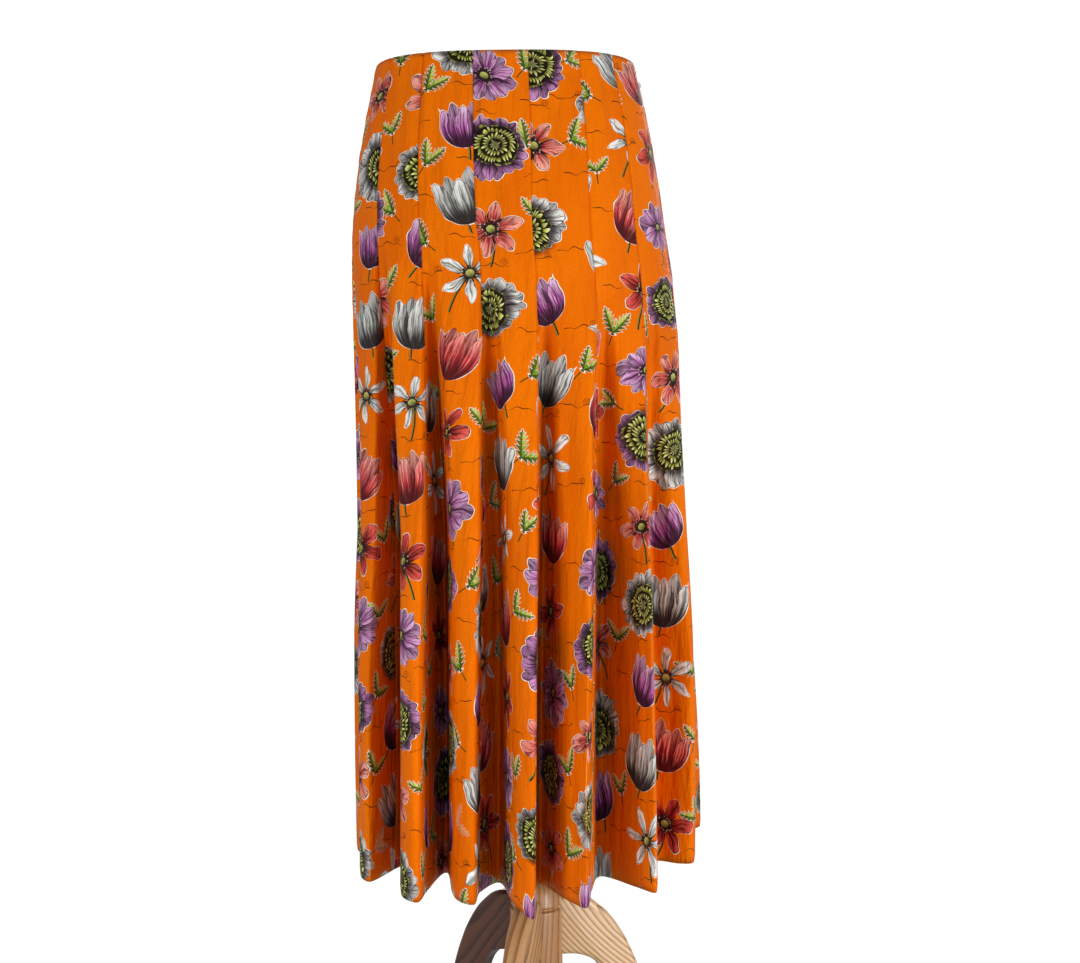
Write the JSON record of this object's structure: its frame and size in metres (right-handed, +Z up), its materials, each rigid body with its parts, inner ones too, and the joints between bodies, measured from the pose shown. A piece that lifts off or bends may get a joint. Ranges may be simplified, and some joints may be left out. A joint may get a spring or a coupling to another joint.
{
  "type": "pleated midi skirt on a dress form with a tripod stand",
  "caption": "Flared panelled midi skirt in a floral print, hanging in deep soft pleats on a limbless hip form with a wooden tripod stand.",
  "frame": {"origin": "on the floor, under the middle of the part's bounding box", "axes": "+Z up, -Y towards the front of the skirt, +X to the viewer's right"},
  "size_m": [0.4318, 0.4333, 1.0401],
  "materials": {
    "printed_cloth": "satin woven crepe with a printed floral pattern",
    "zip_tape": "woven tape",
    "zip_metal": "dull nickel",
    "form_cover": "matte stretched cover",
    "form_pole_wood": "satin",
    "stand_wood": "satin clear finish"
  },
  "bodies": {
    "skirt_and_form": {"gore_00": "printed_cloth", "gore_01": "printed_cloth", "gore_02": "printed_cloth", "gore_03": "printed_cloth", "gore_04": "printed_cloth", "gore_05": "printed_cloth", "gore_06": "printed_cloth", "gore_07": "printed_cloth", "gore_08": "printed_cloth", "gore_09": "printed_cloth", "gore_10": "printed_cloth", "gore_11": "printed_cloth", "gore_12": "printed_cloth", "gore_13": "printed_cloth", "gore_14": "printed_cloth", "gore_15": "printed_cloth", "zip_tape": "zip_tape", "zip_slider": "zip_metal", "form_block": "form_cover", "form_pole": "form_pole_wood", "stand_hub": "stand_wood", "stand_leg_front": "stand_wood", "stand_leg_right": "stand_wood", "stand_leg_left": "stand_wood"},
    "zip_pull": {"zip_pull": "zip_metal"}
  },
  "joints": [
    {"name": "zip_pull_hinge", "type": "hinge", "parent": "skirt_and_form", "child": "zip_pull", "pos_m": [0.08219, 0.04527, 1.03116], "axis": [0.0886, -0.9957, -0.0271], "range_deg": [0, 95]}
  ]
}
